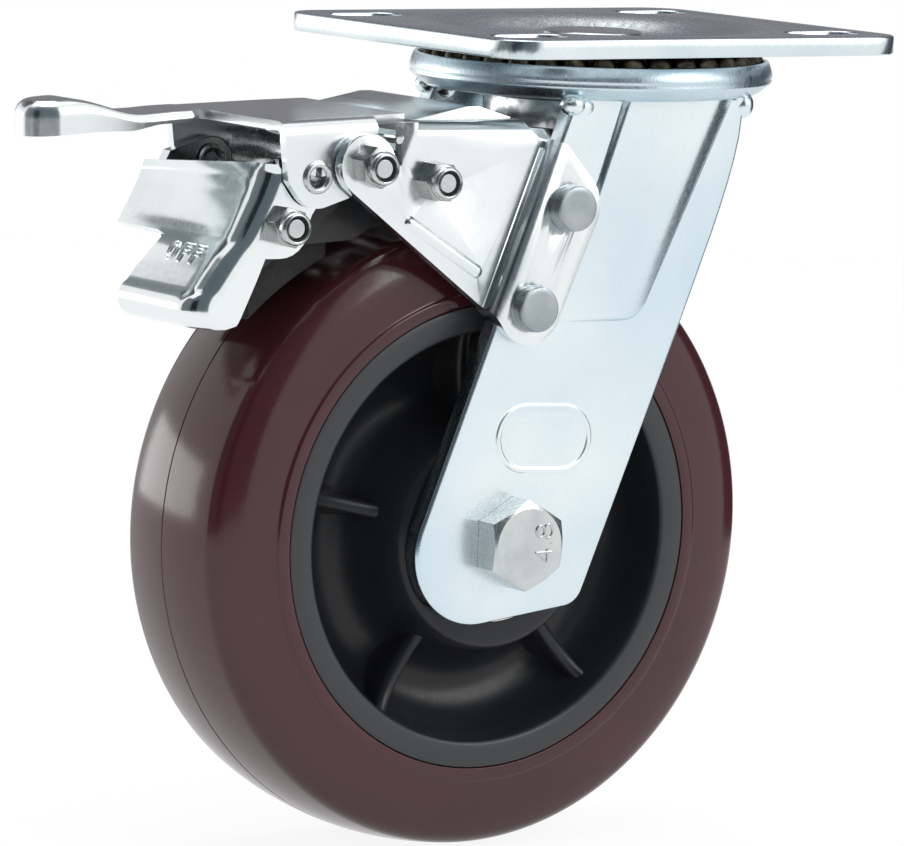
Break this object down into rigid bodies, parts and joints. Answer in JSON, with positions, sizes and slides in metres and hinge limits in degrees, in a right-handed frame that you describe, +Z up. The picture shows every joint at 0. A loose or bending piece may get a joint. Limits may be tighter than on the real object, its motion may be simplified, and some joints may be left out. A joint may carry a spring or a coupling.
{
  "type": "castor wheel",
  "caption": "Swivel plate castor with a slotted mounting plate, pressed fork, polyurethane-tyred wheel and a double-pedal toggle brake.",
  "frame": {"origin": "centre of the four-slot bolt pattern on the mounting plate's top face, which is also where the swivel axis meets it", "axes": "+Z up along the swivel axis, out of the plate's top face; -X towards the brake pedals and the trailing wheel; +Y to the side that carries the ON pedal's tongue and the axle nut"},
  "size_m": [0.2033, 0.102, 0.195],
  "materials": {
    "zinc_steel": "bright blue-white zinc plate",
    "fastener_steel": "zinc plate",
    "ball_steel": "ground and polished",
    "black_steel": "satin black",
    "pad_rubber": "matt",
    "polyurethane": "glossy moulded",
    "black_nylon": "satin moulded"
  },
  "bodies": {
    "plate": {"mounting_plate": "zinc_steel", "kingpin": "zinc_steel", "lower_race_cup": "zinc_steel"},
    "fork": {"fork": "zinc_steel", "main_balls": "ball_steel", "lower_balls": "ball_steel", "brake_bracket": "zinc_steel", "bracket_rivets": "fastener_steel", "pedal_sleeve": "fastener_steel", "pedal_bolt": "fastener_steel", "pedal_nut": "fastener_steel", "shoe_sleeve": "fastener_steel", "shoe_bolt": "fastener_steel", "shoe_nut": "fastener_steel", "pedal_spring": "ball_steel", "bearing_inner_rings": "ball_steel", "bearing_spacer": "fastener_steel", "axle_bush": "fastener_steel", "thrust_washers": "fastener_steel", "axle_bolt": "fastener_steel", "axle_nut": "fastener_steel"},
    "wheel": {"tyre": "polyurethane", "wheel_core": "black_nylon", "bearing_outer_rings": "ball_steel", "bearing_balls": "ball_steel"},
    "pedal": {"on_pedal": "zinc_steel", "eyelet_rivets": "fastener_steel"},
    "lever": {"off_lever": "zinc_steel", "lever_bolt": "fastener_steel", "lever_nut": "fastener_steel"},
    "shoe": {"brake_shoe": "black_steel", "brake_pad": "pad_rubber"}
  },
  "joints": [
    {"name": "swivel", "type": "hinge", "parent": "plate", "child": "fork", "pos_m": [0, 0, -0.01], "axis": [0, 0, 1], "continuous": true},
    {"name": "wheel_spin", "type": "hinge", "parent": "fork", "child": "wheel", "pos_m": [-0.04, 0, -0.119], "axis": [0, 1, 0], "continuous": true},
    {"name": "pedal_hinge", "type": "hinge", "parent": "fork", "child": "pedal", "pos_m": [-0.0815, 0, -0.03], "axis": [0, -1, 0], "range_deg": [0, 34], "deforming": ["pedal_spring"]},
    {"name": "lever_hinge", "type": "hinge", "parent": "pedal", "child": "lever", "pos_m": [-0.0928, 0, -0.0327], "axis": [0, -1, 0], "range_deg": [-42, 0]},
    {"name": "shoe_hinge", "type": "hinge", "parent": "fork", "child": "shoe", "pos_m": [-0.0641, 0, -0.0337], "axis": [0, -1, 0], "range_deg": [0, 8]}
  ],
  "couplings": [
    {"joint": "lever_hinge", "follows": "pedal_hinge", "ratio": -1.227},
    {"joint": "shoe_hinge", "follows": "pedal_hinge", "ratio": 0.233}
  ]
}
